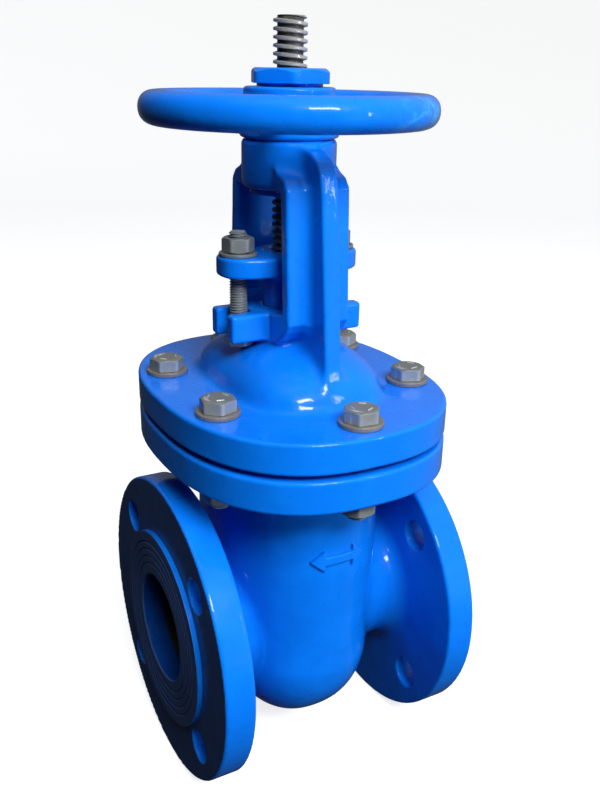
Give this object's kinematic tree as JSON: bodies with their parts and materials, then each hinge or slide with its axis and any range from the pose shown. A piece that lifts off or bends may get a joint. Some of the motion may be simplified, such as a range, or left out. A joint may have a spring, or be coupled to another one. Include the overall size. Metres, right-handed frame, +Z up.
{
  "type": "gate valve",
  "caption": "Flanged gate valve with a rising stem, outside yoke, handwheel, bolted oval bonnet and gland, in blue enamelled cast iron.",
  "frame": {"origin": "where the pipe axis and the stem axis cross, at the middle of the bore", "axes": "+Z up the stem towards the handwheel, +X along the pipe, +Y across it"},
  "size_m": [0.17, 0.2006, 0.4379],
  "materials": {
    "blue_enamel": "glossy thick blue enamel over cast iron",
    "zinc_plate": "dull zinc plate",
    "bright_steel": "turned bright steel, lightly oiled",
    "bronze": "machined bronze",
    "graphite_packing": "braided graphite packing",
    "gasket_fibre": "compressed fibre sheet"
  },
  "bodies": {
    "valve_body": {"body_bowl": "blue_enamel", "body_top_flange": "blue_enamel", "body_inlet_flange": "blue_enamel", "body_outlet_flange": "blue_enamel", "bonnet_flange": "blue_enamel", "bonnet_dome": "blue_enamel", "yoke": "blue_enamel", "bonnet_gasket": "gasket_fibre", "bonnet_bolt_1": "zinc_plate", "bonnet_bolt_2": "zinc_plate", "bonnet_bolt_3": "zinc_plate", "bonnet_bolt_4": "zinc_plate", "bonnet_bolt_5": "zinc_plate", "bonnet_bolt_6": "zinc_plate", "bonnet_washer_1": "zinc_plate", "bonnet_washer_2": "zinc_plate", "bonnet_washer_3": "zinc_plate", "bonnet_washer_4": "zinc_plate", "bonnet_washer_5": "zinc_plate", "bonnet_washer_6": "zinc_plate", "bonnet_nut_1": "zinc_plate", "bonnet_nut_2": "zinc_plate", "bonnet_nut_3": "zinc_plate", "bonnet_nut_4": "zinc_plate", "bonnet_nut_5": "zinc_plate", "bonnet_nut_6": "zinc_plate", "seat_ring_inlet": "bronze", "seat_ring_outlet": "bronze", "backseat_bush": "bronze", "packing_ring_1": "graphite_packing", "packing_ring_2": "graphite_packing", "packing_ring_3": "graphite_packing", "packing_ring_4": "graphite_packing", "gland_bolt_left": "zinc_plate", "gland_bolt_right": "zinc_plate"},
    "handwheel": {"handwheel": "blue_enamel", "yoke_sleeve": "bronze", "wheel_key": "bright_steel", "lock_nut": "blue_enamel"},
    "stem": {"stem": "bright_steel", "wedge": "blue_enamel", "wedge_ring_inlet": "bronze", "wedge_ring_outlet": "bronze"},
    "gland": {"gland_follower": "blue_enamel", "gland_washer_left": "zinc_plate", "gland_washer_right": "zinc_plate"},
    "gland_nut_left": {"gland_nut_left": "zinc_plate"},
    "gland_nut_right": {"gland_nut_right": "zinc_plate"}
  },
  "joints": [
    {"name": "wheel_turn", "type": "hinge", "parent": "valve_body", "child": "handwheel", "pos_m": [0, 0, 0.3], "axis": [0, 0, 1], "range_deg": [0, 6840]},
    {"name": "stem_lift", "type": "slide", "parent": "valve_body", "child": "stem", "axis": [0, 0, 1], "range_m": [0, 0.076]},
    {"name": "gland_slide", "type": "slide", "parent": "valve_body", "child": "gland", "axis": [0, 0, 1], "range_m": [-0.005, 0.003], "deforming": ["packing_ring_1", "packing_ring_2", "packing_ring_3", "packing_ring_4"]},
    {"name": "gland_nut_left_turn", "type": "hinge", "parent": "gland", "child": "gland_nut_left", "pos_m": [-0.0307, 0, 0.23], "axis": [0, 0, 1], "range_deg": [-1200, 720]},
    {"name": "gland_nut_right_turn", "type": "hinge", "parent": "gland", "child": "gland_nut_right", "pos_m": [0.0307, 0, 0.23], "axis": [0, 0, 1], "range_deg": [-1200, 720]}
  ],
  "couplings": [
    {"joint": "stem_lift", "follows": "wheel_turn", "m_per_rad": 0.00063662},
    {"joint": "gland_nut_left_turn", "follows": "gland_slide", "rad_per_m": 4188.8},
    {"joint": "gland_nut_right_turn", "follows": "gland_slide", "rad_per_m": 4188.8}
  ]
}
